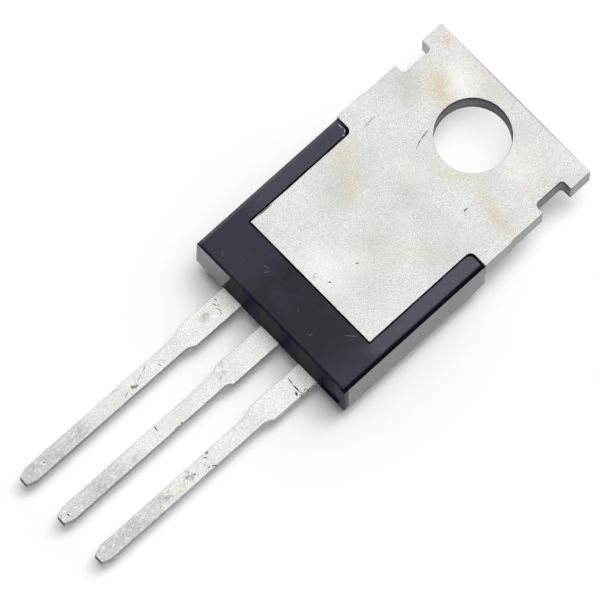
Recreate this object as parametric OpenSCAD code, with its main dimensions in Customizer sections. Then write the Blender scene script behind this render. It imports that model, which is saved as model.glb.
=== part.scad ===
// Power transistor in a three-lead moulded package with a bare metal mounting tab.
// +X runs across the tab, +Y runs up the tab away from the leads, +Z comes out of the tab's back face.
// The origin is the centre of the mounting hole, on the tab's back face. All lengths are in millimetres.

/* [Tab] */
// Width of the tab across its ears
tab_w = 10; // [9.6:0.1:10.8]
// Distance from the hole's centre up to the tab's top edge
tab_top = 2.75; // [2.5:0.05:3.2]
// Thickness of the tab
tab_t = 1.3; // [1:0.05:1.6]
// Diameter of the mounting hole
hole_d = 3.7; // [3.2:0.05:4]
// Height of each ear above its notch
ear_h = 1.25; // [0.9:0.05:1.6]
// Height of each side notch
notch_h = 1.75; // [1:0.05:2.1]
// Depth of each side notch
notch_depth = 0.6; // [0.3:0.05:0.9]
// Radius of the notches' inner corners
notch_r = 0.2; // [0.05:0.05:0.25]
// Height of the slightly narrower waist under each notch
waist_h = 2; // [1:0.1:2.3]
// How far the waist stands back from the ears
waist_step = 0.05; // [0.02:0.01:0.15]

/* [Bare metal window] */
// Width of the bare metal between the body's two arms
window_w = 8; // [7:0.1:8.6]
// Distance from the hole's centre down to the ends of the arms
arm_drop = 3.95; // [3.6:0.05:4.6]
// Length of the bare metal between the arms
window_l = 6.43; // [5.6:0.05:7]
// Corner radius inside the tab's shoulders
shoulder_r = 0.3; // [0.05:0.05:0.35]

/* [Body] */
// Width of the body at its parting line
body_w = 10; // [9.7:0.1:11]
// Height of the solid plastic band below the bare metal
band_h = 2.54; // [2.2:0.05:3.2]
// Thickness of the body
body_t = 4.5; // [4.2:0.05:5]
// Draft of the body's back half, in degrees
back_draft = 1; // [0.5:0.5:4]
// Draft of the body's front half, in degrees
front_draft = 11; // [3:1:15]
// Bevel along the back face's two long edges
side_bevel = 0.2; // [0.05:0.05:0.3]
// Bevel along the back face's edge over the leads
end_bevel = 0.1; // [0.05:0.05:0.3]
// Width of the crevice along the bare metal's edges
crevice_w = 0.08; // [0.03:0.01:0.12]
// Width of the crevice at the ends of the arms
arm_crevice_w = 0.13; // [0.05:0.01:0.2]
// Depth of both crevices
crevice_depth = 0.2; // [0.1:0.05:0.5]
// Width of the gate mark in the end face
gate_w = 1.2; // [0.5:0.1:1.3]
// Height of the gate mark above the parting line
gate_h = 0.95; // [0.5:0.05:1.3]
// Depth of the gate mark
gate_depth = 0.15; // [0.05:0.01:0.25]

/* [Leads] */
// Distance between neighbouring leads
lead_pitch = 2.54; // [2.4:0.02:2.7]
// Depth of the leads' upper faces and of the parting line below the tab's back face
lead_z = 2.6; // [2.4:0.05:2.8]
// Thickness of the leads
lead_t = 0.5; // [0.4:0.05:0.6]
// Width of the leads next to the body
lead_w = 1.22; // [1:0.02:1.4]
// Width of the leads past their necks
pin_w = 0.81; // [0.6:0.01:0.95]
// Length of each lead outside the body
lead_l = 13.1; // [8:0.1:14]
// Length of the wide part of each lead outside the body
shank_l = 2.88; // [2:0.02:3.6]
// Length of each neck between the wide and the narrow part
neck_l = 0.5; // [0.35:0.05:0.8]
// Length of the cropped corners at each tip
tip_l = 0.48; // [0.2:0.02:0.8]
// Width of each tip's flat end
tip_w = 0.45; // [0.3:0.05:0.55]

/* [Inside the body] */
// Side of the square silicon die
die_w = 3.2; // [2:0.1:3.8]
// Thickness of the die
die_t = 0.25; // [0.15:0.01:0.4]
// Thickness of the solder under the die
solder_t = 0.05; // [0.03:0.01:0.1]
// Distance from the top of the bare metal window down to the die's centre
die_drop = 3; // [2.6:0.1:3.6]
// Width of the bond posts on the two outer leads
post_w = 2.6; // [2.2:0.1:2.8]
// Length of the bond posts on the two outer leads
post_l = 1.15; // [0.9:0.05:1.3]
// Width of the neck that joins the tab to the middle lead
riser_w = 2; // [1.4:0.1:2.2]
// Diameter of the base's bond wire
base_wire_d = 0.25; // [0.15:0.01:0.3]
// Diameter of the emitter's bond wire
emitter_wire_d = 0.38; // [0.25:0.01:0.4]

/* [Hidden] */

$fn = 64;
loop_fn = 96;                              // facets along the bond wires' loops
over = 1;                                  // how far a cutting solid runs past what it cuts

epoxy_black = [0.13, 0.13, 0.15];
tinned_copper = [0.8, 0.8, 0.77];
silicon_grey = [0.3, 0.32, 0.38];
solder_grey = [0.62, 0.63, 0.65];
wire_aluminium = [0.85, 0.86, 0.88];

window_bottom = -arm_drop - window_l;      // Y of the bare metal's lower edge
lead_exit = window_bottom - band_h;        // Y of the body's end at the parting line
lead_tip = lead_exit - lead_l;             // Y of the leads' tips
neck_y = lead_exit - shank_l;              // Y at which the necks begin

post_inset = 0.9;                          // plastic between the posts and the body's end
post_y = lead_exit + post_inset;           // Y of the posts' lower edges
post_top = post_y + post_l;                // Y of the posts' upper edges, by the tab
post_gap = 0.6;                            // plastic between the riser and each post
post_inner = riser_w / 2 + post_gap;       // X of the posts' inner edges

riser_flat = 0.35;                         // length of the riser that runs level out of the tab
riser_foot = 0.7;                          // length of the middle lead inside the body, below the riser
riser_level = 0.45;                        // length of the riser that runs level into the lead
riser_top_z = tab_t - lead_t;              // depth of the riser's upper face at the tab
riser_bend_y = window_bottom - riser_flat; // Y of the riser's upper bend
riser_end_y = lead_exit + riser_foot;      // Y at which the riser meets the middle lead
riser_low_y = riser_end_y + riser_level;   // Y of the riser's lower bend
riser_angle = atan2(lead_z - riser_top_z, riser_bend_y - riser_low_y);
riser_mitre = lead_t * tan(riser_angle / 2);

die_y = -arm_drop - die_drop;              // Y of the die's centre
solder_margin = 0.08;                      // how far the solder shows round the die
solder_face = tab_t + solder_t;            // depth of the solder's front face
die_face = solder_face + die_t;            // depth of the die's front face
post_face = lead_z + lead_t;               // depth of the posts' front faces
base_bond = 0.55;                          // distance of the base's bond from the die's two edges
emitter_bond_x = 1.1;                      // distance of the emitter's bond from the die's side
emitter_bond_y = 1.1;                      // distance of the emitter's bond from the die's lower edge
post_bond = 0.35;                          // distance of the bonds from the posts' upper edges
foot_l = 0.35;                             // length of each wire's bonded foot, from the loop's end
foot_spread = 1.3;                         // width of a bonded foot as a share of its wire's diameter
foot_squash = 0.7;                         // height of a bonded foot as a share of its wire's diameter
foot_cut = 0.1;                            // how far the loops' ends run into the die and the posts
loop_cover = 0.75;                         // plastic between the loops and the body's front face

// How far a drafted face moves sideways over a height
function draft(height, angle) = height * tan(angle);

// ---------- Tab and collector lead ----------

// A corner piece that fills the inside of a right angle with a round of radius r
module corner_fill(r) {
    difference() {
        square(r);
        translate([r, r]) circle(r);
    }
}

// Outline of the tab: ears, notches, waist, shoulders and the part between the arms
module tab_outline() {
    shoulder_top = tab_top - ear_h - notch_h - waist_h;
    difference() {
        union() {
            translate([-tab_w / 2, -arm_drop]) square([tab_w, arm_drop + tab_top]);
            translate([-window_w / 2, window_bottom]) square([window_w, window_l + over]);
        }
        for (side = [0, 1]) mirror([side, 0]) {
            translate([tab_w / 2 - waist_step, shoulder_top]) square([over, waist_h + notch_r]);
            notch_outline();
        }
        circle(d = hole_d);
    }
    for (side = [0, 1]) mirror([side, 0])
        translate([window_w / 2, -arm_drop]) mirror([0, 1]) corner_fill(shoulder_r);
}

// One side notch, with rounded inner corners
module notch_outline() {
    x = tab_w / 2 - notch_depth;
    y = tab_top - ear_h - notch_h;
    translate([x + notch_r, y]) square([over, notch_h]);
    translate([x, y + notch_r]) square([over, notch_h - 2 * notch_r]);
    translate([x + notch_r, y + notch_r]) circle(notch_r);
    translate([x + notch_r, y + notch_h - notch_r]) circle(notch_r);
}

// Outline of a lead outside the body, centred on X = 0 and running down to its tip
module lead_outline(top) {
    neck_end = neck_y - neck_l;
    step = (lead_w - pin_w) / 2;
    sweep_r = (neck_l * neck_l + step * step) / (2 * step);
    translate([-lead_w / 2, neck_y]) square([lead_w, top - neck_y]);
    difference() {
        translate([-lead_w / 2, neck_end]) square([lead_w, neck_l]);
        for (side = [-1, 1]) translate([side * (pin_w / 2 + sweep_r), neck_end]) circle(sweep_r);
    }
    polygon([[-pin_w / 2, neck_end], [-pin_w / 2, lead_tip + tip_l], [-tip_w / 2, lead_tip],
             [tip_w / 2, lead_tip], [pin_w / 2, lead_tip + tip_l], [pin_w / 2, neck_end]]);
}

// Stands an outline up as a flat strip whose upper face is at the given depth
module strip(depth, thickness) {
    translate([0, 0, -depth - thickness]) linear_extrude(thickness) children();
}

// The bent riser from the tab's lower edge down to the middle lead
module riser() {
    rotate([90, 0, 90]) translate([0, 0, -riser_w / 2]) linear_extrude(riser_w) polygon([
        [window_bottom + lead_t, -riser_top_z],
        [riser_bend_y, -riser_top_z],
        [riser_low_y, -lead_z],
        [riser_end_y, -lead_z],
        [riser_end_y, -post_face],
        [riser_low_y + riser_mitre, -post_face],
        [riser_bend_y + riser_mitre, -tab_t],
        [window_bottom + lead_t, -tab_t]
    ]);
}

module collector_tab() {
    color(tinned_copper) union() {
        strip(0, tab_t) tab_outline();
        riser();
        strip(lead_z, lead_t) lead_outline(riser_end_y);
    }
}

// ---------- Base and emitter leads ----------

// An outer lead and its bond post; side is -1 for the base and 1 for the emitter
module outer_lead(side) {
    color(tinned_copper) strip(lead_z, lead_t) {
        translate([side * lead_pitch, 0]) lead_outline(post_y);
        translate([side > 0 ? post_inner : -post_inner - post_w, post_y]) square([post_w, post_l]);
    }
}

module base_lead() {
    outer_lead(-1);
}

module emitter_lead() {
    outer_lead(1);
}

// ---------- Die and bond wires ----------

module silicon_die() {
    color(silicon_grey) translate([-die_w / 2, die_y - die_w / 2, -die_face]) cube([die_w, die_w, die_t]);
}

module die_solder() {
    w = die_w + 2 * solder_margin;
    color(solder_grey) translate([-w / 2, die_y - w / 2, -solder_face]) cube([w, w, solder_t]);
}

// A looped bond wire in the XY plane, from the origin on the die to a post standing step higher at X = span.
// The loop is one round arc whose crown is at the given height, and each end has a foot pressed flat.
module wire_loop(d, span, step, crown) {
    lift = d * foot_squash / 2;
    rise = crown - lift;
    fall = rise - step;
    k = 1 - fall / rise;
    crown_x = (span - sqrt(span * span - k * (span * span + fall * fall - rise * fall))) / k;
    loop_r = (crown_x * crown_x + rise * rise) / (2 * rise);
    intersection() {
        translate([crown_x, crown - loop_r])
            rotate_extrude($fn = loop_fn) translate([loop_r, 0]) circle(d = d);
        translate([0, 0, -d]) linear_extrude(2 * d) polygon([
            [crown_x - loop_r - d, -foot_cut],
            [crown_x, -foot_cut],
            [crown_x, step - foot_cut],
            [crown_x + loop_r + d, step - foot_cut],
            [crown_x + loop_r + d, crown + d],
            [crown_x - loop_r - d, crown + d]
        ]);
    }
    translate([-foot_l, 0]) wire_foot(d);
    translate([span, step]) wire_foot(d);
}

// A bonded foot that lies along X on the XZ plane and sinks a little way through it
module wire_foot(d) {
    translate([0, -foot_cut, -d * foot_spread / 2])
        cube([foot_l, foot_cut + d * foot_squash, d * foot_spread]);
}

// A bond wire from the die to an outer lead's post, pressed flat where it meets each
module bond_wire(d, from, to) {
    run = to - from;
    color(wire_aluminium) difference() {
        translate([from[0], from[1], -die_face]) rotate(atan2(run[1], run[0])) rotate([-90, 0, 0])
            wire_loop(d, norm(run), post_face - die_face, body_t - loop_cover - d / 2 - die_face);
        silicon_die();
        outer_lead(sign(to[0]));
    }
}

module base_wire() {
    bond_wire(base_wire_d, [-die_w / 2 + base_bond, die_y - die_w / 2 + base_bond],
              [-lead_pitch, post_top - post_bond]);
}

module emitter_wire() {
    bond_wire(emitter_wire_d, [die_w / 2 - emitter_bond_x, die_y - die_w / 2 + emitter_bond_y],
              [lead_pitch, post_top - post_bond]);
}

// ---------- Moulded body ----------

// Section across the body: bevelled back face, slight draft to the parting line, stronger draft below it
module section_across() {
    parting = body_w / 2;
    bevel_x = parting - draft(lead_z - side_bevel, back_draft);
    front_x = parting - draft(body_t - lead_z, front_draft);
    polygon([[-bevel_x + side_bevel, 0], [-bevel_x, -side_bevel], [-parting, -lead_z], [-front_x, -body_t],
             [front_x, -body_t], [parting, -lead_z], [bevel_x, -side_bevel], [bevel_x - side_bevel, 0]]);
}

// Section along the body: upright face by the tab, drafted face over the leads
module section_along() {
    bevel_y = lead_exit + draft(lead_z - end_bevel, back_draft);
    front_y = draft(body_t - lead_z, front_draft);
    polygon([[-arm_drop, 0], [-arm_drop, -lead_z], [-arm_drop - front_y, -body_t],
             [lead_exit + front_y, -body_t], [lead_exit, -lead_z], [bevel_y, -end_bevel],
             [bevel_y + end_bevel, 0]]);
}

module body_block() {
    intersection() {
        rotate([90, 0, 0]) translate([0, 0, arm_drop - over])
            linear_extrude(-lead_exit - arm_drop + 2 * over)
            section_across();
        rotate([90, 0, 90]) translate([0, 0, -body_w / 2 - over]) linear_extrude(body_w + 2 * over)
            section_along();
    }
}

// Outline of the crevice: the bare metal grown by the crevice's width, and the ends of the arms
module crevice_outline() {
    half = window_w / 2 + crevice_w;
    arm_end = -arm_drop - arm_crevice_w;
    translate([-half, window_bottom - crevice_w]) square([2 * half, window_l + crevice_w]);
    translate([-body_w / 2 - over, arm_end]) square([body_w + 2 * over, arm_crevice_w + over]);
    for (side = [0, 1]) mirror([side, 0]) translate([half, arm_end]) mirror([0, 1]) corner_fill(shoulder_r);
}

// The shallow mark left in the end face where the moulding compound flowed in
module gate_mark() {
    x = lead_pitch + lead_w / 2 + (body_w / 2 - lead_pitch - lead_w / 2 - gate_w) / 2;
    rotate([90, 0, 0]) translate([x, -lead_z, -lead_exit - gate_depth]) linear_extrude(over) {
        square([gate_w, gate_h - gate_depth]);
        square([gate_w - gate_depth, gate_h]);
        translate([gate_w - gate_depth, gate_h - gate_depth]) circle(gate_depth);
    }
}

module body() {
    color(epoxy_black) difference() {
        body_block();
        strip(-over, crevice_depth + over) crevice_outline();
        gate_mark();
        collector_tab();
        base_lead();
        emitter_lead();
        silicon_die();
        die_solder();
        base_wire();
        emitter_wire();
    }
}

body();
collector_tab();
base_lead();
emitter_lead();
silicon_die();
die_solder();
base_wire();
emitter_wire();
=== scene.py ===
import math

import bmesh
import bpy
from mathutils import Matrix, Vector


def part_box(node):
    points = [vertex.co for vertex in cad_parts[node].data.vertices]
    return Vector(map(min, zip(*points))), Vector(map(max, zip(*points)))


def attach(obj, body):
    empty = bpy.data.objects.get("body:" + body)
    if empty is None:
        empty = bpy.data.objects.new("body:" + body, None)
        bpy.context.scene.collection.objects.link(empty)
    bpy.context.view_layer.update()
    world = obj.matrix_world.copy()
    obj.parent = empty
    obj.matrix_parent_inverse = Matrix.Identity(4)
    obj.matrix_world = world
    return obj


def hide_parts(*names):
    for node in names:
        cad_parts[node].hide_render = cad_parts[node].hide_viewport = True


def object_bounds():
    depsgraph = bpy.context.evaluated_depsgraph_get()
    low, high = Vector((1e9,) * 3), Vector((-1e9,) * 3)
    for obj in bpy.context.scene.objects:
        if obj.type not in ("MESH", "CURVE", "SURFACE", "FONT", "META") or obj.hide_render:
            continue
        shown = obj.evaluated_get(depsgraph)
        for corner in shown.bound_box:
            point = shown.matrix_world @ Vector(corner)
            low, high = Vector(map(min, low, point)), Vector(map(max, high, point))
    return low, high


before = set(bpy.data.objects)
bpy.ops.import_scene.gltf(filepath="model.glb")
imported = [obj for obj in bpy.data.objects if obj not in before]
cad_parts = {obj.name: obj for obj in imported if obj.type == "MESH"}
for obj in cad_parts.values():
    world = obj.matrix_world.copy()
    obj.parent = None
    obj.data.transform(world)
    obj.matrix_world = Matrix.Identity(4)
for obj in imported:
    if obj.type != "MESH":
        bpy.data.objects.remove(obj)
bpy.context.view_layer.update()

MM = 0.001

# ---------------------------------------------------------------- Collector tab and middle lead
# The tab and the middle lead are one copper stamping, from strip of two thicknesses, plated with satin tin.
# The punch leaves its edges slightly broken and its cut walls raw, and the epoxy moulded round it holds it.
# Heat and handling have stained, rubbed and scratched the plating. Highlights, light, shade and reflections
# are also painted on it.

lead_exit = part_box("body")[0].y
lead_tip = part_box("collector_tab")[0].y
lead_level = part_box("base_lead")[1].z
lead_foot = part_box("base_lead")[0].z
exit_mm = lead_exit / MM
tip_mm = lead_tip / MM
lead_pitch = 2.54 * MM
tab_edge = 0.03 * MM
plate_foot = -1.31 * MM               # just under the tab's inner face
lead_joint = lead_exit + 0.3 * MM     # the middle lead is made apart and joined here, inside the moulding
middle_lead_top = lead_exit + 0.6 * MM


def merge_doubles(work):
    bmesh.ops.remove_doubles(work, verts=work.verts, dist=0.0002 * MM)


def join_flat_faces(work):
    bmesh.ops.dissolve_limit(work, angle_limit=math.radians(0.4), verts=work.verts, edges=work.edges)


def merged_copy(node):
    """A bmesh of a CAD node with its doubles merged and its flat faces joined."""
    work = bmesh.new()
    work.from_mesh(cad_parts[node].data)
    merge_doubles(work)
    join_flat_faces(work)
    return work


def is_sharp(edge, degrees):
    return len(edge.link_faces) == 2 and edge.calc_face_angle() > math.radians(degrees)


def broken_edges(work, edges, width):
    """Rounds the given edges of a bmesh by a small width."""
    bmesh.ops.bevel(work, geom=edges, offset=width, offset_type="OFFSET", segments=2, profile=0.5,
                    affect="EDGES", clamp_overlap=True)


def written(work, mesh, degrees):
    """Writes a bmesh to a mesh, smooth except across edges that turn by more than the given angle."""
    for face in work.faces:
        face.smooth = True
    for edge in work.edges:
        edge.smooth = not is_sharp(edge, degrees)
    work.to_mesh(mesh)
    work.free()
    return mesh


def added(name, data):
    """Adds an object with the given mesh or camera to the scene."""
    made = bpy.data.objects.new(name, data)
    bpy.context.scene.collection.objects.link(made)
    return made


def coated(piece, material):
    """Gives a piece one material in place of any that it has."""
    piece.data.materials.clear()
    piece.data.materials.append(material)


def applied(piece):
    """Replaces a piece's modifiers with the plain mesh that they make."""
    bpy.context.view_layer.update()
    finished = piece.evaluated_get(bpy.context.evaluated_depsgraph_get())
    mesh = bpy.data.meshes.new_from_object(finished, preserve_all_data_layers=True,
                                           depsgraph=bpy.context.evaluated_depsgraph_get())
    piece.modifiers.clear()
    piece.data = mesh
    mesh.name = piece.name


class Value:
    """One socket. Sums written with it become Math nodes in its tree."""

    def __init__(self, tree, socket):
        self.tree = tree
        self.socket = socket

    def math(self, operation, *others):
        inputs = {0: self}
        for i, other in enumerate(others):
            inputs[i + 1] = other
        return self.tree.node("ShaderNodeMath", {"operation": operation}, inputs)

    def flipped(self, operation, other):
        return self.tree.node("ShaderNodeMath", {"operation": operation}, {0: other, 1: self})

    def __add__(self, other):
        return self.math("ADD", other)

    def __sub__(self, other):
        return self.math("SUBTRACT", other)

    def __mul__(self, other):
        return self.math("MULTIPLY", other)

    def __truediv__(self, other):
        return self.math("DIVIDE", other)

    def __rsub__(self, other):
        return self.flipped("SUBTRACT", other)

    def __rtruediv__(self, other):
        return self.flipped("DIVIDE", other)

    __radd__ = __add__
    __rmul__ = __mul__

    def least(self, other):
        return self.math("MINIMUM", other)

    def most(self, other):
        return self.math("MAXIMUM", other)

    def step(self, start, end):
        """Goes smoothly from 0 to 1 while the value goes from start to end, whichever is the larger."""
        low, high = (1, 0) if start > end else (0, 1)
        return self.tree.node("ShaderNodeMapRange", {"interpolation_type": "SMOOTHSTEP"},
                              {"Value": self, "From Min": min(start, end), "From Max": max(start, end),
                               "To Min": low, "To Max": high})


class Tree:
    """A node tree in which each node is added by one method."""

    def __init__(self, tree):
        self.tree = tree
        tree.nodes.clear()

    def node(self, kind, settings=None, inputs=None, out=0):
        """Adds a node of a type, with its settings, then with the values or links of its sockets."""
        made = self.tree.nodes.new(kind)
        for key, setting in (settings or {}).items():
            setattr(made, key, setting)
        for key, given in (inputs or {}).items():
            if isinstance(given, Value):
                self.tree.links.new(given.socket, made.inputs[key])
            else:
                made.inputs[key].default_value = given
        return Value(self, made.outputs[out]) if made.outputs else made

    def split(self, vector):
        """The X, Y and Z of a vector."""
        parts = self.node("ShaderNodeSeparateXYZ", None, {0: vector}).socket.node.outputs
        return [Value(self, part) for part in parts]


def srgb(red, green, blue):
    """A colour written in display values from 0 to 255, as linear light."""
    parts = [v / 255 for v in (red, green, blue)]
    return tuple(v / 12.92 if v <= 0.04045 else ((v + 0.055) / 1.055) ** 2.4 for v in parts) + (1,)


class Finish(Tree):
    """A material's tree, with the piece's own place in millimetres and ways to mark the surface."""

    through = 1e6    # a mark has no end in Z

    def __init__(self, name):
        self.material = bpy.data.materials.new(name)
        self.material.use_nodes = True
        super().__init__(self.material.node_tree)
        place = self.node("ShaderNodeTexCoord", out="Object")
        self.place = self.node("ShaderNodeVectorMath", {"operation": "SCALE"}, {0: place, "Scale": 1 / MM})
        self.x, self.y, self.z = self.split(self.place)
        facing = self.split(self.node("ShaderNodeTexCoord", out="Normal"))[2]
        self.upright = facing.math("ABSOLUTE").step(0.75, 0.55)
        wander = self.node("ShaderNodeTexNoise", None, {"Vector": self.place, "Scale": 2.2, "Detail": 3},
                           "Color")
        wander = self.node("ShaderNodeVectorMath", {"operation": "SUBTRACT"}, {0: wander, 1: (0.5, 0.5, 0.5)})
        self.wandering = self.node("ShaderNodeVectorMath", {"operation": "MULTIPLY_ADD"},
                                   {0: wander, 1: (0.7, 0.7, 0.7), 2: self.place})

    def noise(self, per_mm, detail=2, roughness=0.5, shift=0.0, stretch=(1, 1, 1)):
        """Noise from 0 to 1. Its lattice is turned, so that no face lies along it."""
        vector = self.node("ShaderNodeMapping", None, {
            "Vector": self.place, "Location": (shift, -shift, shift), "Rotation": (0.5, 0.3, 0.2),
            "Scale": stretch})
        return self.node("ShaderNodeTexNoise", None, {
            "Vector": vector, "Scale": per_mm, "Detail": detail, "Roughness": roughness})

    def spot(self, x, y, length, width, turn, crisp, wander=False):
        """A mask of 1 on an oval of the given length and width, fading to 0 at its rim.

        It is 1 out to crisp of the way to the rim. One that wanders has an uneven rim, and a thin one is
        a scratch.
        """
        oval = self.node("ShaderNodeMapping", {"vector_type": "TEXTURE"}, {
            "Vector": self.wandering if wander else self.place,
            "Location": (x, y, 0), "Rotation": (0, 0, math.radians(turn)),
            "Scale": (length / 2, width / 2, self.through)})
        away = self.node("ShaderNodeVectorMath", {"operation": "LENGTH"}, {0: oval}, "Value")
        return away.step(1, crisp)

    def spots(self, marks, crisp, wander=False):
        """One mask for several ovals, each (X, Y, length, width, turn, strength)."""
        total = None
        for x, y, length, width, turn, strength in marks:
            mask = self.spot(x, y, length, width, turn, crisp, wander) * strength
            total = mask if total is None else total.most(mask)
        return total

    def mix(self, amount, under, over, blend="MIX"):
        return self.node("ShaderNodeMix", {"data_type": "RGBA", "blend_type": blend},
                         {0: amount, 6: under, 7: over}, 2)

    def stained(self, amount, under, tint):
        """The colour under a stain, which darkens it by its own tint."""
        return self.mix(amount, under, tint, "MULTIPLY")

    def relief(self, height, depth_mm):
        return self.node("ShaderNodeBump", None,
                         {"Height": height, "Strength": 1.0, "Distance": depth_mm * MM})

    def finish(self, shader):
        self.node("ShaderNodeOutputMaterial", None, {"Surface": shader})
        return self.material

    def surface(self, constants, varied, chalky=None, chalk=None):
        """The main shader, with constants and what varies, and over it a matt one where it is chalky."""
        shader = self.node("ShaderNodeBsdfPrincipled", None, {**constants, **varied})
        if chalky:
            matte = self.node("ShaderNodeBsdfDiffuse", None, {"Color": chalk})
            shader = self.node("ShaderNodeMixShader", None, {0: chalky, 1: shader, 2: matte})
        return self.finish(shader)


grain_dark, grain_pale = srgb(208, 208, 205), srgb(252, 252, 248)
cloud_grey, speck_grey = srgb(220, 221, 216), srgb(150, 149, 145)
handled_grey = (0.58, 0.58, 0.58, 1)
scuff_pale, scuff_dark = srgb(246, 246, 242), srgb(172, 172, 168)
highlight_white, smudge_slate = srgb(248, 248, 245), srgb(168, 167, 164)
scratch_grey, cut_brown, nick_brown = srgb(112, 111, 108), srgb(52, 48, 45), srgb(38, 33, 29)
bare_copper = srgb(122, 114, 92)
sheared_grey = (0.62, 0.62, 0.61, 1)
rolled_edge_shade_grey = (0.3, 0.3, 0.31, 1)
wall_shade_violet = (0.20, 0.17, 0.28, 1)
wall_light_white = srgb(232, 232, 234)
pink, straw, rust, shade = srgb(255, 243, 238), srgb(251, 245, 228), srgb(246, 231, 210), srgb(241, 242, 237)


def satin_tin(name, tarnish, smudges, scratches, cuts, nicks, painted_highlights=(), painted_shade_walls=(), painted_light_walls=()):
    """Satin tin plating: a fine grain with faint clouds, and then what has happened to it.

    Each tarnish is a tint and its ovals. Smudges are rubbed dull. Bright places are paler patches, painted
    highlights.
    Scratches are shallow, cuts are dark, and nicks are small pits. The walls listed for shade are painted
    darker, as painted shade and reflection, most at their rims, and those listed for light are painted pale
    and made matt, as painted light.
    Each oval is (X, Y, length, width, turn, strength) in millimetres and degrees.
    """
    tin = Finish(name)
    grain = tin.noise(30, detail=0, shift=3.1)
    speckle = tin.noise(15, detail=1, roughness=0.7, shift=11.7)
    clouds = tin.noise(0.5, detail=3, roughness=0.55, shift=5.3)
    colour = tin.mix(grain.step(0.25, 0.75), grain_dark, grain_pale)
    colour = tin.mix(clouds.step(0.42, 0.66) * 0.25, colour, cloud_grey)
    colour = tin.mix(speckle.step(0.36, 0.28) * 0.4, colour, speck_grey)

    # It is brightest on the leads by the body, and duller on the tab and down to the leads' tips.
    handled_tab = tin.y.step(exit_mm - 0.2, exit_mm + 0.2) * 0.48
    handled = handled_tab.most(tin.y.step(exit_mm - 0.5, exit_mm - 5.0) * 0.3)
    handled = handled + tin.y.step(tip_mm + 5.5, tip_mm + 2.5) * (0.3 + clouds * 0.2)
    colour = tin.stained(handled, colour, handled_grey)
    scuffs = tin.noise(5, detail=4, roughness=0.75, shift=17.3, stretch=(1.6, 0.8, 1))
    worn_end = tin.y.step(tip_mm + 7, tip_mm + 2.5)
    colour = tin.mix(worn_end * scuffs.step(0.52, 0.68) * 0.6, colour, scuff_pale)
    colour = tin.mix(worn_end * scuffs.step(0.46, 0.34) * 0.6, colour, scuff_dark)

    # Painted highlights: paler patches on the plate.
    if painted_highlights:
        colour = tin.mix(tin.spots(painted_highlights, 0.0, wander=True), colour, highlight_white)
    for tint, *ovals in tarnish:
        colour = tin.stained(tin.spots(ovals, 0.0, wander=True), colour, tint)
    smudged = tin.spots(smudges, 0.2, wander=True)
    smudged = smudged * tin.noise(5, detail=3, roughness=0.7, shift=21.3).step(0.38, 0.62)
    colour = tin.mix(smudged, colour, smudge_slate)
    scored = tin.spots(scratches, 0.3)
    colour = tin.mix(scored, colour, scratch_grey)
    colour = tin.mix(tin.spots(cuts, 0.2), colour, cut_brown)
    pitted = tin.spots(nicks, 0.45, wander=True)
    colour = tin.mix(pitted, colour, nick_brown)
    cropped_end = tin.y.step(tip_mm + 0.03, tip_mm + 0.005)
    colour = tin.mix(cropped_end, colour, bare_copper)

    # The walls cut by the punch are streaked, and painted dark just under the rolled top edge as painted
    # shade of its curve.
    streaks = tin.noise(7, detail=2, roughness=0.7, shift=31.9, stretch=(1, 1, 0.15))
    colour = tin.stained(tin.upright * (0.7 + streaks * 0.5).least(1), colour, sheared_grey)
    colour = tin.stained(tin.upright * tin.z.step(-0.17, -0.1) * 0.45, colour, rolled_edge_shade_grey)
    # Painted shade and reflection on the upright walls of the hole, notches and window edges, darkest at
    # their top and bottom rims.
    if painted_shade_walls:
        rim_shade = tin.z.step(-0.35, -0.15).most(tin.z.step(-0.9, -1.25) * 0.7)
        wall_shade = tin.upright * tin.spots(painted_shade_walls, 0.9) * (0.52 + rim_shade * 0.48)
        colour = tin.stained(wall_shade, colour, wall_shade_violet)
    metallic = 0.75
    # Painted light: the walls listed here are painted pale and made matt.
    if painted_light_walls:
        wall_light = tin.upright * tin.spots(painted_light_walls, 0.6)
        colour = tin.mix(wall_light, colour, wall_light_white)
        metallic = metallic - wall_light * metallic
    height = grain + speckle * 0.8 - scored * 4 - pitted * 6
    return tin.surface({}, {
        "Metallic": metallic,
        "Base Color": colour,
        "Roughness": 0.62 + clouds * 0.12 + smudged * 0.12,
        "Normal": tin.relief(height, 0.003)})


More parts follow.
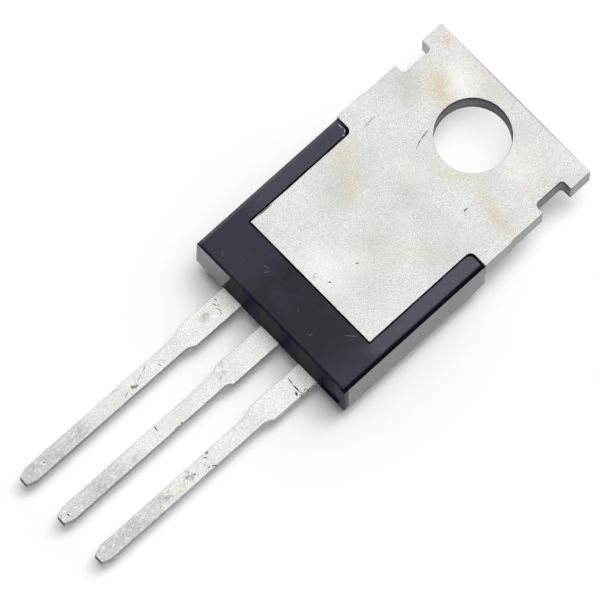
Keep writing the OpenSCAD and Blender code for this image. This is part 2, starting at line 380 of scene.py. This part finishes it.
tab_material = satin_tin(
    "tinned_tab",
    tarnish=(
        (pink, (-4.2, 2.35, 1.3, 0.9, 60, 0.6), (-2.0, 2.1, 4.6, 2.6, -5, 0.4),
         (-3.4, -1.05, 1.3, 1.0, 0, 0.7), (3.0, 0.8, 4.6, 3.0, -12, 0.45), (3.2, -5.1, 3.0, 2.0, 0, 0.4)),
        (straw, (-2.65, 0.5, 4.0, 2.4, -25, 0.8), (0.9, -1.9, 3.6, 1.3, 40, 0.7),
         (-3.4, -5.0, 3.4, 2.0, -35, 0.8), (-2.1, -5.7, 3.4, 1.8, -35, 0.6), (2.3, -6.0, 3.0, 2.0, 40, 0.3)),
        (rust, (3.6, -1.9, 4.4, 1.3, -8, 0.6), (-2.7, 0.5, 2.8, 1.4, -30, 0.45),
         (-4.2, 2.35, 1.1, 0.6, -38, 0.5)),
        (shade, (-3.9, -0.3, 2.6, 1.8, 0, 0.8), (0.9, -7.2, 5.5, 3.6, -40, 0.7),
         (-2.1, -6.7, 4.0, 2.4, -40, 0.6), (-0.6, -3.6, 5.0, 2.6, -40, 0.6),
         (1.7, -4.6, 4.0, 2.0, -40, 0.4))),
    smudges=((-0.08, -15.95, 0.5, 0.8, 30, 0.5), (-0.55, -15.6, 0.5, 0.7, 0, 0.35),
             (0.05, -21.4, 0.5, 0.9, 20, 0.35), (0.0, -23.6, 0.6, 1.8, 10, 0.3)),
    scratches=((-3.78, -2.98, 1.05, 0.045, 92, 0.8), (-3.7, -3.2, 0.4, 0.04, 70, 0.5),
               (-1.46, -2.05, 0.5, 0.07, 112, 0.9), (-1.56, -1.65, 0.6, 0.08, 95, 0.9),
               (-1.62, -1.4, 0.35, 0.05, 80, 0.7), (-1.35, -2.3, 0.3, 0.04, 120, 0.6),
               (0.0, -10.08, 0.55, 0.04, 72, 0.6), (-0.1, -9.9, 0.3, 0.035, 60, 0.4),
               (4.0, 0.75, 0.7, 0.035, -40, 0.35), (3.5, 1.6, 0.9, 0.03, 10, 0.25),
               # The last is a dark line along the tab's top edge, painted shade of its burr.
               (0.1, -20.17, 0.34, 0.03, 5, 0.5), (0, 2.72, 9.9, 0.06, 0, 0.7)),
    cuts=((-0.3, -19.86, 0.44, 0.1, -7, 1), (-1.5, -1.8, 0.4, 0.03, 100, 0.5),
          # The last two are dark lines along the left arm's inner edge: partly epoxy flash, partly painted
          # shade of the crevice between metal and epoxy.
          (-3.95, -9.5, 1.4, 0.09, 90, 1), (-3.98, -7.9, 2.0, 0.05, 90, 0.8)),
    nicks=((2.41, -2.73, 0.12, 0.07, 60, 0.9), (-4.25, -1.78, 0.09, 0.07, 0, 0.8),
           (0.82, -8.11, 0.11, 0.1, 0, 1), (-1.58, -9.39, 0.1, 0.08, 0, 0.6),
           (0.62, -9.81, 0.14, 0.1, 30, 0.9), (-0.14, -10.12, 0.1, 0.07, 0, 0.7),
           (-0.87, -8.92, 0.09, 0.07, 0, 0.6), (1.79, 0.10, 0.1, 0.08, 0, 0.7),
           (3.52, -2.47, 0.14, 0.07, -30, 0.7), (-0.56, -13.88, 0.12, 0.1, 0, 0.9),
           (0.33, -18.95, 0.17, 0.1, 80, 0.9), (0.33, -19.17, 0.12, 0.1, 80, 0.8),
           (0.2, -21.95, 0.09, 0.08, 0, 0.7), (0.26, -21.38, 0.08, 0.06, 0, 0.5),
           (-0.07, -25.6, 0.24, 0.18, 0, 0.9)),
    # Painted highlights: paler patches on the plate.
    painted_highlights=((0.1, -9.3, 4.2, 3.2, 0, 0.32), (0.7, -8.3, 3.4, 2.6, 0, 0.3), (-2.2, 1.4, 3.6, 2.6, -20, 0.4),
            (2.4, 0.6, 3.4, 3.0, 0, 0.3), (-1.0, -3.3, 3.0, 2.2, 0, 0.15)),
    # Painted shade on the walls of the hole, the right notch, the window's sides and its lower edge.
    painted_shade_walls=((0, 0, 4.2, 4.2, 0, 1), (4.45, 0.78, 0.5, 2.1, 0, 0.9), (4.7, 1.6, 0.64, 0.3, 0, 1),
             (4, -7.2, 0.9, 9, 0, 1), (-4, -7.2, 0.9, 9, 0, 1), (0, -10.4, 12, 0.7, 0, 1)),
    # Painted light on the left ear's wall.
    painted_light_walls=((-4.85, 1.65, 1.4, 0.7, 0, 1),))


# The three leads are alike: a wide part by the body, a neck, a narrow part and a tip with cropped corners.
# The tree below shapes one from its sizes. Each leans a little to one side and has its own worn neck.
# Lean is how far a lead shifts sideways over its length, and rows is how many cuts its mesh has along it.

alike = {"tip": lead_tip, "exit": lead_exit, "level": lead_level, "foot": lead_foot,
         "lean": 0.0066, "wide": 1.22 * MM, "narrow": 0.81 * MM, "crop": 0.48 * MM, "tip width": 0.45 * MM,
         "edge": 0.028 * MM, "rows": 700.0}
own = ("top", "centre", "neck left", "neck right", "neck length left", "neck length right",
       "post", "post left", "post right")


class Shape(Tree):
    """A Geometry Nodes tree with named number inputs and one for the material."""

    def __init__(self, name, sizes):
        group = bpy.data.node_groups.new(name, "GeometryNodeTree")
        super().__init__(group)
        group.interface.new_socket(name="Geometry", in_out="OUTPUT", socket_type="NodeSocketGeometry")
        self.keys = {}
        for label in sizes:
            socket = group.interface.new_socket(name=label, in_out="INPUT", socket_type="NodeSocketFloat")
            self.keys[label] = socket.identifier
        socket = group.interface.new_socket(name="metal", in_out="INPUT", socket_type="NodeSocketMaterial")
        self.keys["metal"] = socket.identifier
        given = self.tree.nodes.new("NodeGroupInput")
        self.sizes = {label: Value(self, given.outputs[label]) for label in sizes}
        self.metal = Value(self, given.outputs["metal"])

    def vector(self, x, y, z):
        return self.node("ShaderNodeCombineXYZ", None, {0: x, 1: y, 2: z})

    def stored(self, name, geometry, vector):
        return self.node("GeometryNodeStoreNamedAttribute", {"data_type": "FLOAT_VECTOR", "domain": "POINT"},
                         {"Geometry": geometry, "Name": name, "Value": vector})

    def recalled(self, name):
        """The X, Y and Z of a stored vector."""
        return self.split(self.node("GeometryNodeInputNamedAttribute", {"data_type": "FLOAT_VECTOR"},
                                    {"Name": name}))


def lead_shape():
    """Sweeps a rounded strip from the lead's top to its tip and sets its half width at every point."""
    tree = Shape("flat_lead", (*alike, *own))
    s = tree.sizes
    position = tree.node("GeometryNodeInputPosition")
    section = tree.node("GeometryNodeCurvePrimitiveQuadrilateral", None,
                        {"Width": s["narrow"], "Height": s["level"] - s["foot"]})
    section = tree.node("GeometryNodeFilletCurve", {"mode": "POLY"},
                        {"Curve": section, "Radius": s["edge"], "Count": 2})
    section = tree.stored("section", section, position)
    path = tree.node("GeometryNodeCurvePrimitiveLine", None,
                     {"Start": tree.vector(0, s["top"], 0), "End": tree.vector(0, s["tip"], 0)})
    path = tree.node("GeometryNodeResampleCurve", None, {"Curve": path, "Count": s["rows"]})
    path = tree.stored("path", path, position)
    strip = tree.node("GeometryNodeCurveToMesh", None,
                      {"Curve": path, "Profile Curve": section, "Fill Caps": True})
    across, up, _ = tree.recalled("section")
    _, along, _ = tree.recalled("path")
    side = across.math("SIGN")
    left = (1 - side) * 0.5

    def of_side(name):
        return s[name + " right"] + (s[name + " left"] - s[name + " right"]) * left

    # A neck widens on an arc that ends square to the wide part's shoulder.
    length = of_side("neck length")
    shoulder = (s["wide"] - s["narrow"]) * 0.5
    round_off = (length * length + shoulder * shoulder) / (shoulder * 2)
    climb = (along - of_side("neck")).most(0).least(length)
    neck = round_off - (round_off * round_off - climb * climb).math("SQRT")
    crop = (1 - (along - s["tip"]) / s["crop"]).most(0).least(1) * (s["narrow"] - s["tip width"]) * 0.5
    half = s["narrow"] * 0.5 + neck - crop
    in_post = along.math("GREATER_THAN", s["post"])
    half = half + (of_side("post") - half) * in_post
    inset = s["narrow"] * 0.5 - across.math("ABSOLUTE")
    x = s["centre"] + s["lean"] * (along - s["exit"]).least(0) + side * (half - inset)
    z = (s["level"] + s["foot"]) * 0.5 + up
    strip = tree.node("GeometryNodeSetPosition", None,
                      {"Geometry": strip, "Position": tree.vector(x, along, z)})
    strip = tree.node("GeometryNodeRealizeInstances", None, {"Geometry": strip})
    strip = tree.node("GeometryNodeSetMaterial", None, {"Geometry": strip, "Material": tree.metal})
    tree.node("NodeGroupOutput", None, {0: strip})
    return tree


lead_tree = lead_shape()
no_post = (1, 0, 0)    # it would start a metre up the lead


def flat_lead(name, metal, place, neck_left, neck_right, top, post=no_post):
    """Makes one lead, whose place is how many pitches it lies from the middle one.

    Each neck is (Y where it starts to widen, its length) in millimetres. The post, the wide end inside the
    moulding, is (its lower edge, half width to the left, half width to the right) in metres.
    """
    piece = added(name, bpy.data.meshes.new(name))
    shaper = piece.modifiers.new("lead shape", "NODES")
    sizes = {**alike, "metal": metal, "top": top, "centre": place * lead_pitch,
             "neck left": neck_left[0] * MM, "neck right": neck_right[0] * MM,
             "neck length left": neck_left[1] * MM, "neck length right": neck_right[1] * MM,
             "post": post[0], "post left": post[1], "post right": post[2]}
    for label, size in sizes.items():
        shaper[lead_tree.keys[label]] = size
    shaper.node_group = lead_tree.tree
    applied(piece)
    work = bmesh.new()
    work.from_mesh(piece.data)
    merge_doubles(work)
    bmesh.ops.recalc_face_normals(work, faces=work.faces)
    written(work, piece.data, 15)
    for label in ("section", "path"):
        if label in piece.data.attributes:
            piece.data.attributes.remove(piece.data.attributes[label])
    return piece


def tab_piece():
    """The tab up to the middle lead, with the edges of its plate broken."""
    work = merged_copy("collector_tab")
    every = work.verts[:] + work.edges[:] + work.faces[:]
    bmesh.ops.bisect_plane(work, geom=every, plane_co=(0, lead_joint, 0), plane_no=(0, -1, 0),
                           clear_outer=True)
    bmesh.ops.holes_fill(work, edges=[e for e in work.edges if e.is_boundary])
    join_flat_faces(work)
    plate_edges = [e for e in work.edges if is_sharp(e, 30) and all(v.co.z > plate_foot for v in e.verts)]
    broken_edges(work, plate_edges, tab_edge)
    name = "collector_tab_plated"
    piece = added(name, written(work, bpy.data.meshes.new(name), 9))
    coated(piece, tab_material)
    return piece


collector_tab = tab_piece()
collector_lead = flat_lead("collector_lead", tab_material, 0, (-16.3, 0.5), (-16.13, 0.33), middle_lead_top)
join = collector_tab.modifiers.new("one piece", "BOOLEAN")
join.operation = "UNION"
join.solver = "EXACT"
join.object = collector_lead
applied(collector_tab)
bpy.data.objects.remove(collector_lead)
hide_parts("collector_tab")
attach(collector_tab, "root")

# ---------------------------------------------------------------- Base and emitter leads
# The two outer leads are stamped from the strip's thinner side, in copper, and plated with the tab.
# Each ends inside the moulding in a wide post, to which its bond wire is welded.

post_low = -12.02 * MM
post_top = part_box("base_lead")[1].y
post_out = -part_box("base_lead")[0].x
post_in = 1.6 * MM
outer_half = post_out - lead_pitch
inner_half = lead_pitch - post_in

base_material = satin_tin(
    "tinned_base_lead",
    tarnish=((pink, (-2.5, -13.55, 0.6, 0.5, 0, 0.8), (-2.8, -14.0, 0.6, 0.5, 0, 0.5)),
             (rust, (-2.4, -19.15, 0.4, 0.35, 0, 1))),
    smudges=((-2.7, -14.55, 0.6, 1.0, 0, 0.55), (-2.6, -22.6, 0.9, 2.0, 0, 0.6),
             (-2.4, -24.1, 0.6, 1.8, 0, 0.4), (-2.5, -15.4, 0.8, 0.8, 0, 0.2),
             (-2.7, -25.3, 0.5, 0.6, 0, 0.4)),
    scratches=((-2.44, -17.64, 0.34, 0.05, 17, 0.95), (-2.8, -18.25, 0.55, 0.045, 112, 0.9),
               (-2.62, -18.72, 0.55, 0.045, 110, 0.9), (-2.46, -17.36, 0.4, 0.035, 28, 0.6),
               (-2.92, -20.1, 0.3, 0.035, 95, 0.7), (-2.86, -19.86, 0.3, 0.035, 60, 0.6),
               (-2.43, -19.72, 0.45, 0.045, 108, 0.9), (-2.36, -24.1, 0.12, 0.04, 0, 0.8),
               (-2.82, -24.6, 0.12, 0.05, 20, 0.7), (-2.6, -25.43, 0.1, 0.05, 0, 0.6)),
    cuts=((-2.97, -13.6, 0.26, 0.08, 20, 0.9), (-2.83, -13.79, 0.32, 0.08, 12, 0.9),
          (-2.5, -13.8, 0.46, 0.065, 16, 0.9), (-2.31, -13.85, 0.28, 0.07, -18, 0.8),
          (-2.68, -13.68, 0.13, 0.12, 0, 0.6), (-2.62, -24.72, 0.17, 0.09, 60, 1)),
    nicks=((-2.47, -19.2, 0.2, 0.09, 0, 0.8), (-2.39, -19.17, 0.32, 0.26, 30, 0.55),
           (-2.33, -19.1, 0.12, 0.07, 60, 0.7), (-2.35, -19.24, 0.09, 0.07, 0, 0.7)))

emitter_material = satin_tin(
    "tinned_emitter_lead",
    tarnish=((straw, (2.7, -21.0, 0.6, 1.6, 0, 0.6)),),
    smudges=((2.61, -16.42, 0.14, 0.14, 0, 0.6), (2.46, -20.4, 0.7, 1.3, 0, 1),
             (2.45, -21.8, 0.7, 1.4, 0, 0.7), (2.5, -24.2, 0.7, 2.2, 0, 0.35),
             (2.34, -19.2, 0.16, 0.3, 0, 0.7)),
    scratches=((2.6, -23.4, 0.6, 0.04, 60, 0.4), (2.4, -24.4, 0.5, 0.03, 110, 0.4),
               (2.5, -21.6, 0.5, 0.03, 40, 0.4)),
    cuts=((2.3, -13.775, 0.6, 0.085, -4, 1), (2.75, -13.81, 0.7, 0.115, 0, 1),
          (3.05, -13.77, 0.3, 0.075, 15, 1), (2.93, -13.99, 0.34, 0.19, -25, 1),
          (3.12, -13.87, 0.26, 0.1, 25, 0.9), (3.05, -13.56, 0.26, 0.09, 115, 0.9),
          (3.16, -13.46, 0.22, 0.08, -30, 0.9), (2.54, -20.05, 0.2, 0.09, 45, 0.9)),
    nicks=((2.2, -18.99, 0.16, 0.09, 60, 0.8), (2.38, -19.2, 0.16, 0.09, 60, 0.7),
           (2.88, -19.12, 0.17, 0.11, 90, 1), (2.84, -19.3, 0.13, 0.1, 90, 1),
           (2.58, -19.47, 0.08, 0.07, 0, 0.6), (2.58, -22.33, 0.1, 0.08, 0, 0.8)))

base_lead = flat_lead("base_lead_plated", base_material, -1, (-16.31, 0.5), (-16.31, 0.52), post_top,
                      (post_low, outer_half, inner_half))
emitter_lead = flat_lead("emitter_lead_plated", emitter_material, 1, (-16.82, 0.85), (-16.09, 0.5), post_top,
                         (post_low, inner_half, outer_half))
for lead, node in ((base_lead, "base_lead"), (emitter_lead, "emitter_lead")):
    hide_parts(node)
    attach(lead, "root")

# ---------------------------------------------------------------- Die, solder and bond wires
# A square silicon die is soldered to the tab's inner face and joined to the outer leads by aluminium wires.
# They are sealed in the moulding, so nothing of them shows.


def sealed_finish(name, dark, light, metallic, roughness, per_mm):
    """A plain clouded finish between two colours."""
    sealed = Finish(name)
    colour = sealed.mix(sealed.noise(per_mm).step(0.35, 0.65), dark, light)
    return sealed.surface({"Metallic": metallic}, {"Base Color": colour, "Roughness": roughness})


polished_silicon = sealed_finish("silicon", srgb(70, 74, 88), srgb(92, 96, 112), 0.6, 0.15, 3)
soft_solder = sealed_finish("solder", srgb(140, 142, 146), srgb(170, 172, 176), 1, 0.5, 8)
drawn_aluminium = sealed_finish("drawn_wire", srgb(205, 206, 210), srgb(225, 226, 230), 1, 0.3, 20)
for node, material in (("silicon_die", polished_silicon), ("die_solder", soft_solder),
                       ("base_wire", drawn_aluminium), ("emitter_wire", drawn_aluminium)):
    coated(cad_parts[node], material)

# ---------------------------------------------------------------- Moulded body
# Black epoxy is moulded round the tab, leaving its back bare, with an arm on each side of the bare metal.
# The back half has little draft and bevelled edges, the front half draws in to a smaller face.

body_low, body_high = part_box("body")
body_edge = 0.035 * MM
window_half = 4 * MM          # from the middle to each arm
flash_height = 0.007 * MM

epoxy_purple = (0.0235, 0.0205, 0.0340, 1)
epoxy_green = (0.0052, 0.0068, 0.0092, 1)
epoxy_dull = (0.035, 0.032, 0.048, 1)
dust_grey, scratch_pale, glint_and_chip_pale = srgb(96, 96, 100), srgb(120, 118, 122), srgb(176, 174, 180)
# Colours painted where the epoxy is matt: near black as painted shade, purple for the shaded floor's
# reflection, green for the leads' reflection, and a lighter grey as painted light where the face stands back.
crevice_shade_black = (0.006, 0.005, 0.009, 1)
shaded_floor_reflection_purple = (0.0135, 0.0105, 0.0310, 1)
lead_reflection_green = (0.0240, 0.0290, 0.0255, 1)
set_back_light_grey = (0.075, 0.070, 0.095, 1)

epoxy_scratches = ((-1.9, -11.35, 0.5, 0.035, 15, 0.6), (-1.7, -11.5, 0.35, 0.03, 60, 0.4),
                   (-3.76, -12.35, 0.4, 0.035, 130, 0.5), (3.2, -10.8, 0.8, 0.03, 42, 0.5),
                   (-4.7, -6.95, 0.5, 0.03, 130, 0.5), (4.5, -6.2, 0.5, 0.03, 100, 0.4),
                   (-2.9, -11.9, 0.15, 0.04, 0, 0.5), (0.6, -11.7, 0.3, 0.03, -20, 0.35),
                   (1.9, -12.1, 0.25, 0.03, 80, 0.4), (4.45, -8.8, 0.9, 0.025, 85, 0.3),
                   (-4.5, -9.3, 0.7, 0.025, 95, 0.3))
# Pale marks at the left arm's end: partly chips, partly painted highlights on its rounded rim.
arm_end_glints_and_chips = ((-4.55, -4.16, 0.42, 0.07, 4, 0.8), (-4.24, -4.18, 0.25, 0.07, -50, 0.9),
                  (-4.1, -4.36, 0.14, 0.12, 90, 0.9))
# Where the leads' reflections are painted on the end face.
over_each_lead = [(place * lead_pitch / MM, exit_mm, 1.36, 9, 0, 1) for place in (-1, 0, 1)]


def moulding_finish():
    """Black epoxy, purple in some places and greener in others, glossy on its back and chalky on its end."""
    epoxy = Finish("moulded_epoxy")
    cloud = epoxy.noise(0.45, detail=3, roughness=0.6, shift=7.7)
    fine = epoxy.noise(20, detail=1, shift=2.9)
    dust = epoxy.noise(11, detail=2, roughness=0.7, shift=13.1)
    outwards = epoxy.x.math("ABSOLUTE")
    greenish = cloud.step(0.2, 0.55) * epoxy.x.step(-2.6, -0.8) * epoxy.x.step(4.9, 2.4)
    colour = epoxy.mix(greenish, epoxy_purple, epoxy_green)

    # The arms are paler and rougher than the bar across the leads, the right one more so towards the tab.
    arm = outwards.step(3.95, 4.15) * epoxy.z.step(-0.1, -0.02)
    left_arm = arm * epoxy.x.step(0.1, -0.1) * epoxy.y.step(-10.6, -9.0)
    right_arm = arm * epoxy.x.step(-0.1, 0.1)
    right_arm = right_arm * (epoxy.y.step(-11.2, -10.2) * 0.65 + epoxy.y.step(-9.5, -5.5) * 0.5)
    colour = epoxy.mix(left_arm * 0.5, colour, epoxy_dull)
    colour = epoxy.mix(right_arm, colour, epoxy_dull)
    colour = epoxy.mix(dust.step(0.68, 0.78) * 0.35, colour, dust_grey)
    scored = epoxy.spots(epoxy_scratches, 0.3)
    colour = epoxy.mix(scored, colour, scratch_pale)
    # Partly chips, partly painted highlights on the left arm end's rounded rim.
    colour = epoxy.mix(epoxy.spots(arm_end_glints_and_chips, 0.3), colour, glint_and_chip_pale)

    # The end face is matt. On it the leads' reflections are painted green over each lead and the shaded
    # floor's reflection purple between them, and where it stands back it is painted lighter grey, as painted
    # light in the shade there. Left of a slanted line along the first lead's mirror image it stays glossy, so
    # the floor's real reflection shows at that corner.
    end_face = epoxy.y.step(exit_mm + 0.34, exit_mm + 0.28) * epoxy.z.step(-0.03, -0.07)
    glossy_corner = (epoxy.x - epoxy.z * 0.22).step(-2.6, -2.7) * (epoxy.x.step(-2.8, -3.6) * 0.2 + 0.7)
    glossy_corner = glossy_corner * epoxy.z.step(-0.15, -0.25)
    end_face = end_face * (0.9 - glossy_corner - epoxy.x.step(3.8, 4.6) * 0.12)
    sides = outwards.step(4.6, 4.8) * epoxy.z.step(-0.3, -0.5) * 0.08
    chalk = epoxy.mix(epoxy.spots(over_each_lead, 0.86), shaded_floor_reflection_purple, lead_reflection_green)
    above_face = epoxy.y.step(exit_mm + 0.09, exit_mm + 0.13)
    chalk = epoxy.mix(above_face, chalk, set_back_light_grey)

    # The bevels of the arms, with the crevice round the bare metal, and of the whole +X edge are matt and
    # painted near black, the darkest place: painted shade. The -X edge and the arms' ends are lighter.
    bevel = epoxy.z.step(-0.03, -0.06) * epoxy.z.step(-0.3, -0.25)
    bevel = bevel * epoxy.y.step(-10.6, -10.5).most(epoxy.x.step(4.6, 4.7))
    bevel = bevel * epoxy.y.step(-3.9, -4.0) * epoxy.x.step(-4.65, -4.55)
    chalk = epoxy.mix(bevel, chalk, crevice_shade_black)
    return epoxy.surface({"IOR": 1.42, "Specular Tint": (0.94, 0.93, 1.0, 1)}, {
        "Base Color": colour,
        "Roughness": 0.12 + cloud * 0.06 + (left_arm * 0.5 + right_arm) * 0.2 + scored * 0.2,
        "Normal": epoxy.relief(fine * 0.6 + cloud * 3 - scored * 2, 0.003)},
        end_face.most(sides).most(bevel), chalk)


def uneven_rim(work):
    """Lets the epoxy's rim round the bare metal waver a little, as flash does."""
    back = -0.001 * MM
    rim = [e for e in work.edges if all(v.co.z > back for v in e.verts) and e.calc_length() > 1 * MM
           and all(abs(v.co.x) < window_half + 0.2 * MM for v in e.verts)]
    made = bmesh.ops.subdivide_edges(work, edges=rim, cuts=40)
    for vert in (v for v in made["geom_inner"] if isinstance(v, bmesh.types.BMVert)):
        along = (vert.co.x + vert.co.y) / MM
        wave = math.sin(2.3 * along) + 0.7 * math.sin(5.9 * along + 1) + 0.5 * math.sin(13.7 * along + 2)
        if abs(vert.co.x) > window_half:
            vert.co.x += flash_height * wave
        else:
            vert.co.y += flash_height * wave


def is_outside(vert):
    """Whether a corner is on the moulding's outside, not on a wall that it shares with the metal."""
    p, near, deep = vert.co, 0.12 * MM, -0.15 * MM
    return (p.z > deep or p.z < body_low.z + near or p.y < body_low.y + near or p.y > body_high.y - 4 * near
            or abs(p.x) > body_high.x - near)


def body_piece():
    """The moulding with an uneven rim and its outer edges broken."""
    work = merged_copy("body")
    uneven_rim(work)
    outer_edges = [e for e in work.edges if is_sharp(e, 20) and all(is_outside(v) for v in e.verts)]
    broken_edges(work, outer_edges, body_edge)
    piece = added("body_moulding", written(work, bpy.data.meshes.new("body_moulding"), 9))
    coated(piece, moulding_finish())
    return piece


body = body_piece()
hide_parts("body")
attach(body, "root")

# ---------------------------------------------------------------- Floor, light and camera
# The part lies on its front face on a plain white board, under a long soft light from above.
# The camera looks down on it steeply, from between its leads and its +X side.

floor_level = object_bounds()[0].z
floor_half = 0.6


def white_floor():
    """White board. To the camera alone it is paler under the hole, where the tab's shadow lies."""
    board = Finish("white_floor")
    tone = board.mix(board.noise(0.02), (0.93, 0.93, 0.93, 1), (0.95, 0.95, 0.95, 1))
    matte = board.node("ShaderNodeBsdfDiffuse", None, {"Color": tone})
    white = board.node("ShaderNodeEmission", None, {"Color": (1, 1, 1, 1), "Strength": 1})
    seen = board.node("ShaderNodeLightPath", out="Is Camera Ray")
    # Painted light: to the camera alone, the tab's shadow under the hole is lifted towards white.
    painted_light_under_hole = board.spot(-0.7, 0.7, 5.4, 5.4, 0, 0.4) * seen * 0.6
    return board.finish(board.node("ShaderNodeMixShader", None, {0: painted_light_under_hole, 1: matte, 2: white}))


floor_mesh = bpy.data.meshes.new("floor")
floor_mesh.from_pydata([(x * floor_half, y * floor_half, floor_level)
                        for x, y in ((-1, -1), (1, -1), (1, 1), (-1, 1))], [], [(0, 1, 2, 3)])
floor = added("floor", floor_mesh)
coated(floor, white_floor())

# Each light is (turned from +X, raised, tightness, strength, tint).
soft_lights = ((338, 85.5, 85, 17, (1.01, 1.0, 0.99)),    # the near half of a long soft box overhead
               (66, 76, 85, 14, (1.01, 1.0, 0.99)),       # its far half, over the tab
               (90, 25, 4, 1.0, (0.95, 0.99, 1.04)))      # a pale wall behind the tab
dim_room = (0.195, 0.208, 0.222)

world = bpy.data.worlds.new("soft sky")
bpy.context.scene.world = world
world.use_nodes = True
sky = Tree(world.node_tree)
direction = sky.node("ShaderNodeTexCoord", out="Generated")
glow = dim_room
for turned, raised, tight, strength, tint in soft_lights:
    middle = Matrix.Rotation(math.radians(turned), 3, "Z") @ Matrix.Rotation(math.radians(-raised), 3, "Y")
    toward = sky.node("ShaderNodeVectorMath", {"operation": "DOT_PRODUCT"},
                      {0: direction, 1: tuple(middle @ Vector((1, 0, 0)))}, "Value")
    level = ((toward - 1) * tight).math("EXPONENT") * strength
    level = sky.node("ShaderNodeVectorMath", {"operation": "SCALE"}, {0: tint, "Scale": level})
    glow = sky.node("ShaderNodeVectorMath", {"operation": "ADD"}, {0: glow, 1: level})
seen = sky.node("ShaderNodeLightPath", out="Is Camera Ray")
glow = sky.node("ShaderNodeMix", {"data_type": "VECTOR"}, {0: seen, 4: glow, 5: (1, 1, 1)}, 1)
shown = sky.node("ShaderNodeBackground", None, {"Color": glow, "Strength": 1})
sky.node("ShaderNodeOutputWorld", None, {"Surface": shown})

azimuth, elevation, roll = (math.radians(angle) for angle in (46.66, 72.49, 0.08))
distance = 337 * MM
aim = Vector((0.330, -11.316, 0)) * MM
reach = distance * math.cos(elevation)
stand = aim + Vector((reach * math.sin(azimuth), -reach * math.cos(azimuth), distance * math.sin(elevation)))
turn = Matrix.Rotation(azimuth, 4, "Z") @ Matrix.Rotation(math.pi / 2 - elevation, 4, "X")

camera_data = bpy.data.cameras.new("camera")
camera_data.sensor_width = 36
camera_data.lens = 439.5
camera_data.clip_start = 0.01
camera_data.clip_end = 10
camera = added("camera", camera_data)
camera.matrix_world = Matrix.Translation(stand) @ turn @ Matrix.Rotation(roll, 4, "Z")
bpy.context.scene.camera = camera
bpy.context.scene.view_settings.view_transform = "Standard"
